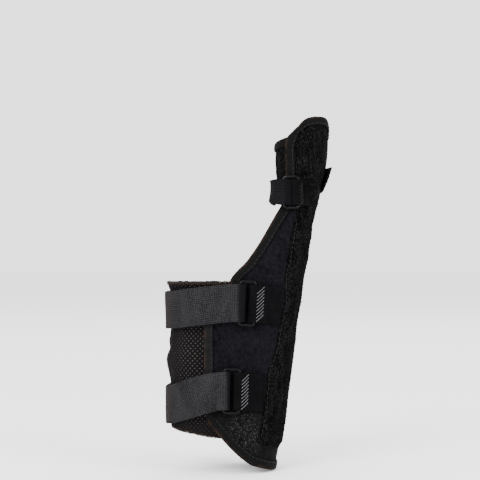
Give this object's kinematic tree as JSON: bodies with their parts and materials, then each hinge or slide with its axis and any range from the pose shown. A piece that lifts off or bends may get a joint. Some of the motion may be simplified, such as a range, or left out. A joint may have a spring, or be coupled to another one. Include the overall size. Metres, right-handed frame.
{
  "type": "thumb spica splint",
  "caption": "Left-hand thumb spica splint: padded radial panel with stay cover, stretch mesh side, ringed wrist straps and a strapped thumb cover.",
  "frame": {"origin": "middle of the wrist hollow, where the wrist sits", "axes": "+Z along the limb from the forearm to the thumb tip, +X towards the thumb side, -Y towards the back of the hand"},
  "size_m": [0.1119, 0.0656, 0.2386],
  "materials": {
    "plush_panel": "brushed loop fabric over foam, matt",
    "plush_cover": "plush loop fabric, matt and mottled",
    "edge_tape": "folded stretch binding tape",
    "stretch_mesh": "perforated stretch knit",
    "webbing": "woven elastic webbing",
    "tab_webbing": "woven tape with satin stitching",
    "ring_plastic": "glossy moulded plastic"
  },
  "bodies": {
    "root": {"shell_panel": "plush_panel", "shell_binding": "edge_tape", "stay_pocket": "plush_cover", "mesh_sleeve": "stretch_mesh", "thumb_flap": "plush_panel", "flap_binding": "edge_tape", "upper_strap": "webbing", "lower_strap": "webbing", "thumb_strap": "webbing", "upper_ring": "ring_plastic", "lower_ring": "ring_plastic", "thumb_ring": "ring_plastic", "upper_ring_tab": "tab_webbing", "lower_ring_tab": "tab_webbing", "thumb_ring_tab": "tab_webbing"}
  },
  "joints": []
}
